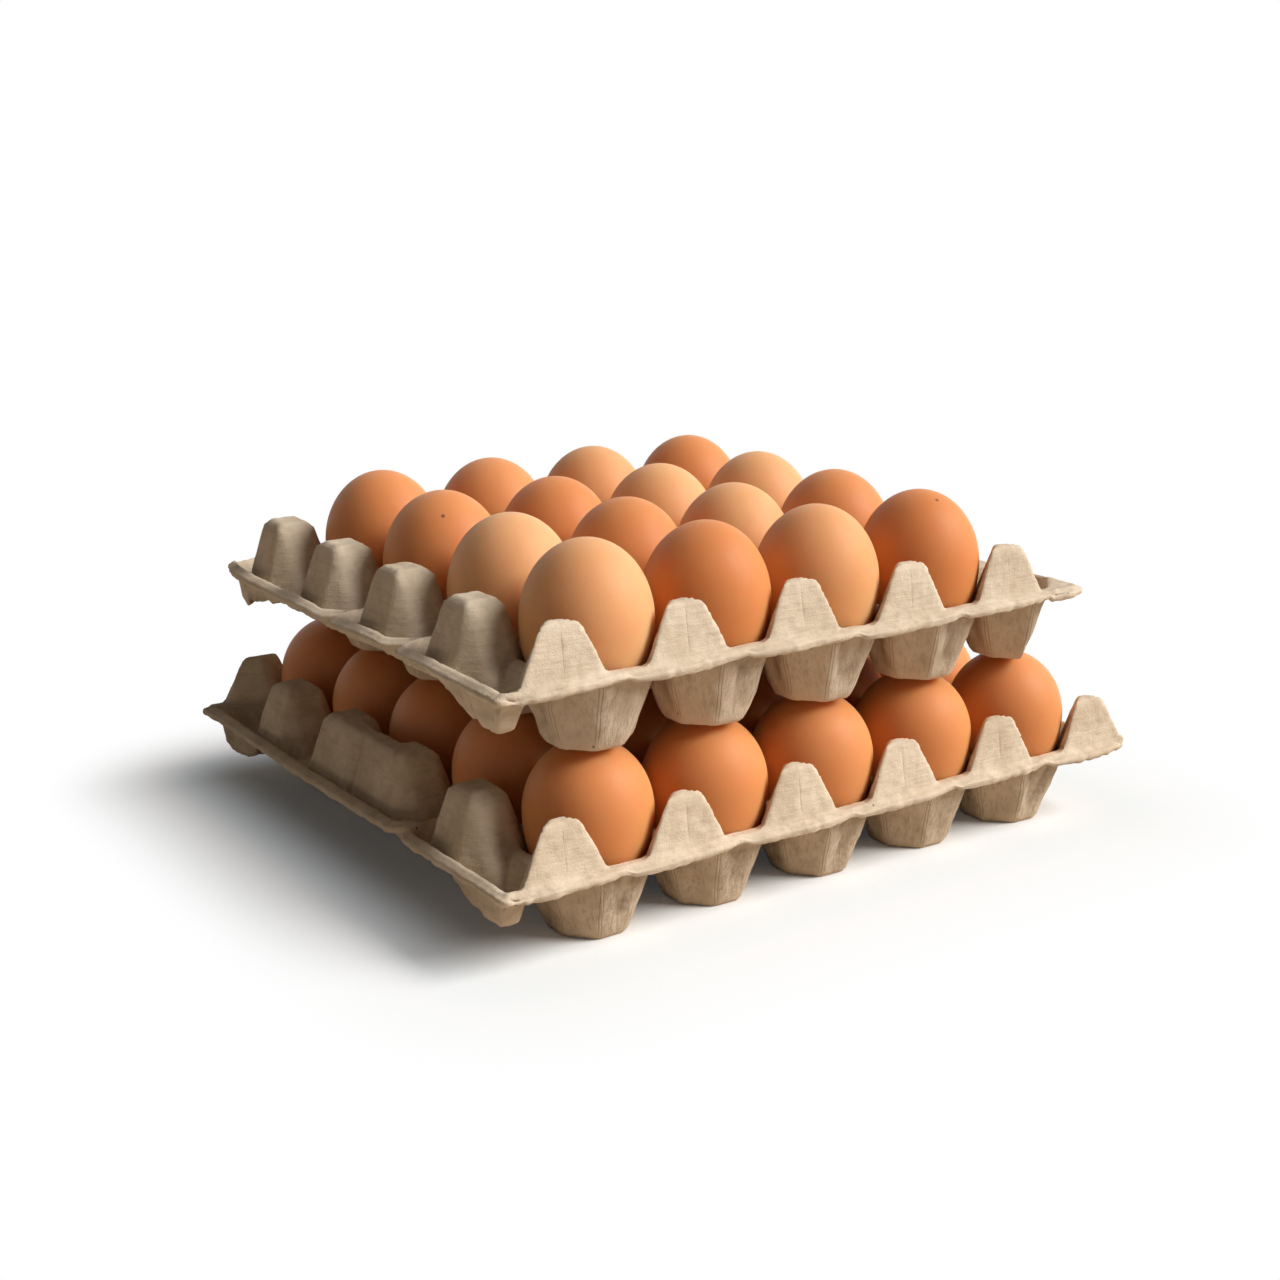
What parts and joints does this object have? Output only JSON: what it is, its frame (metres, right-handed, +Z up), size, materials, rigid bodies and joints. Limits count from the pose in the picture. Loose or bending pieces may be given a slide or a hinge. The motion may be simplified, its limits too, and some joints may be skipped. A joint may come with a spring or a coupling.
{
  "type": "stack of pulp egg trays",
  "caption": "Two moulded pulp egg trays stacked with brown eggs in their cups; the smaller upper tray stands on the lower eggs.",
  "frame": {"origin": "middle of the lower tray's footprint, on the surface that its cups stand on", "axes": "+Z up, -Y the plain front edge with flat-faced posts, -X the flanged left side"},
  "size_m": [0.2796, 0.247, 0.1338],
  "materials": {
    "pulp": "matte fibrous pulp",
    "egg_light": "matte shell",
    "egg_brown": "matte shell",
    "egg_red": "matte shell"
  },
  "bodies": {
    "root": {"lower_tray": "pulp", "upper_tray": "pulp", "lower_egg_1_1": "egg_brown", "lower_egg_2_1": "egg_brown", "lower_egg_3_1": "egg_brown", "lower_egg_4_1": "egg_brown", "lower_egg_5_1": "egg_brown", "lower_egg_1_2": "egg_brown", "lower_egg_2_2": "egg_brown", "lower_egg_3_2": "egg_brown", "lower_egg_4_2": "egg_brown", "lower_egg_5_2": "egg_brown", "lower_egg_1_3": "egg_brown", "lower_egg_2_3": "egg_brown", "lower_egg_3_3": "egg_brown", "lower_egg_4_3": "egg_brown", "lower_egg_5_3": "egg_brown", "lower_egg_1_4": "egg_brown", "lower_egg_2_4": "egg_brown", "lower_egg_3_4": "egg_brown", "lower_egg_4_4": "egg_brown", "lower_egg_5_4": "egg_brown", "lower_egg_1_5": "egg_brown", "lower_egg_2_5": "egg_brown", "lower_egg_3_5": "egg_brown", "lower_egg_4_5": "egg_brown", "lower_egg_5_5": "egg_brown", "upper_egg_1_1": "egg_light", "upper_egg_2_1": "egg_red", "upper_egg_3_1": "egg_light", "upper_egg_4_1": "egg_red", "upper_egg_1_2": "egg_light", "upper_egg_2_2": "egg_brown", "upper_egg_3_2": "egg_light", "upper_egg_4_2": "egg_brown", "upper_egg_1_3": "egg_brown", "upper_egg_2_3": "egg_red", "upper_egg_3_3": "egg_light", "upper_egg_4_3": "egg_light", "upper_egg_1_4": "egg_brown", "upper_egg_2_4": "egg_brown", "upper_egg_3_4": "egg_light", "upper_egg_4_4": "egg_red"}
  },
  "joints": []
}
